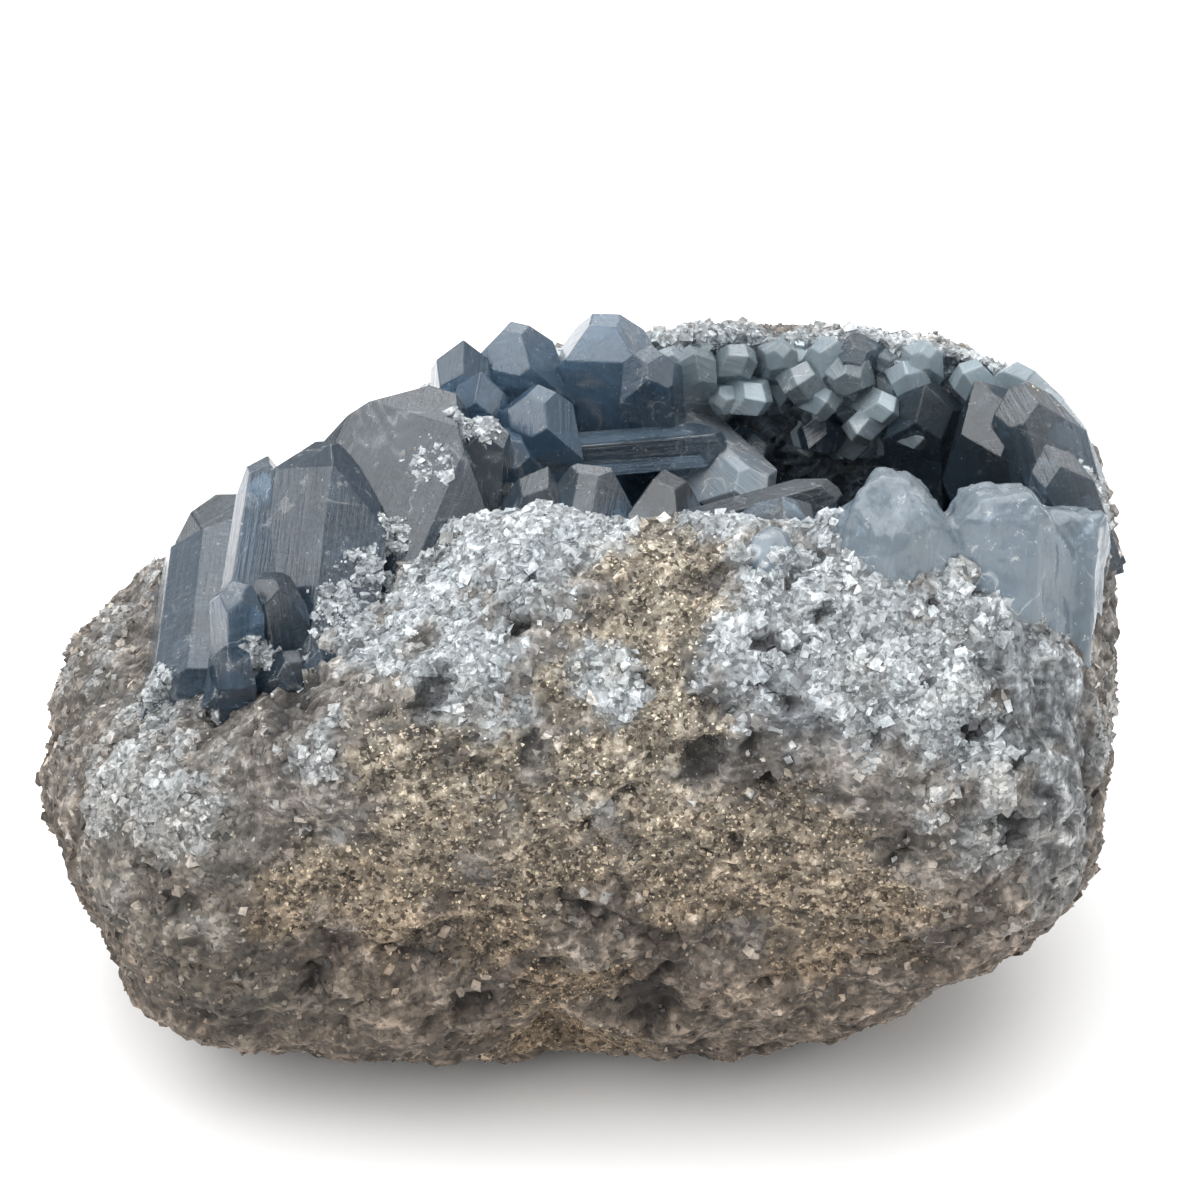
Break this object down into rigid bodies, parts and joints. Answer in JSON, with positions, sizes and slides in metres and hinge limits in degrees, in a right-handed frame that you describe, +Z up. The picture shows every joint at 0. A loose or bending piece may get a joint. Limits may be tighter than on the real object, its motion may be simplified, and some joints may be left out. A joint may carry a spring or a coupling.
{
  "type": "celestite geode",
  "caption": "Egg-shaped celestite geode broken open along its top, with a hollow lined with blocky blue-grey crystals.",
  "frame": {"origin": "on the table under the middle of the geode", "axes": "+X along the length, from the low end to the tall squarish end; -Y towards the viewer; +Z up"},
  "size_m": [0.1759, 0.122, 0.1085],
  "materials": {
    "marl": "rough grainy marl with sugary crystal grains",
    "hollow_crystal": "clear to cloudy blue-grey celestite",
    "dark_crystal": "smoky slate-blue celestite, smooth faces",
    "rim_crystal": "clear to cloudy blue celestite, smooth faces",
    "pale_crystal": "pale frosted celestite"
  },
  "bodies": {
    "root": {"matrix": "marl", "hollow_crystals": "hollow_crystal", "shoulder_crystals": "dark_crystal", "back_rim_crystals": "rim_crystal", "corner_crystals": "pale_crystal"}
  },
  "joints": []
}
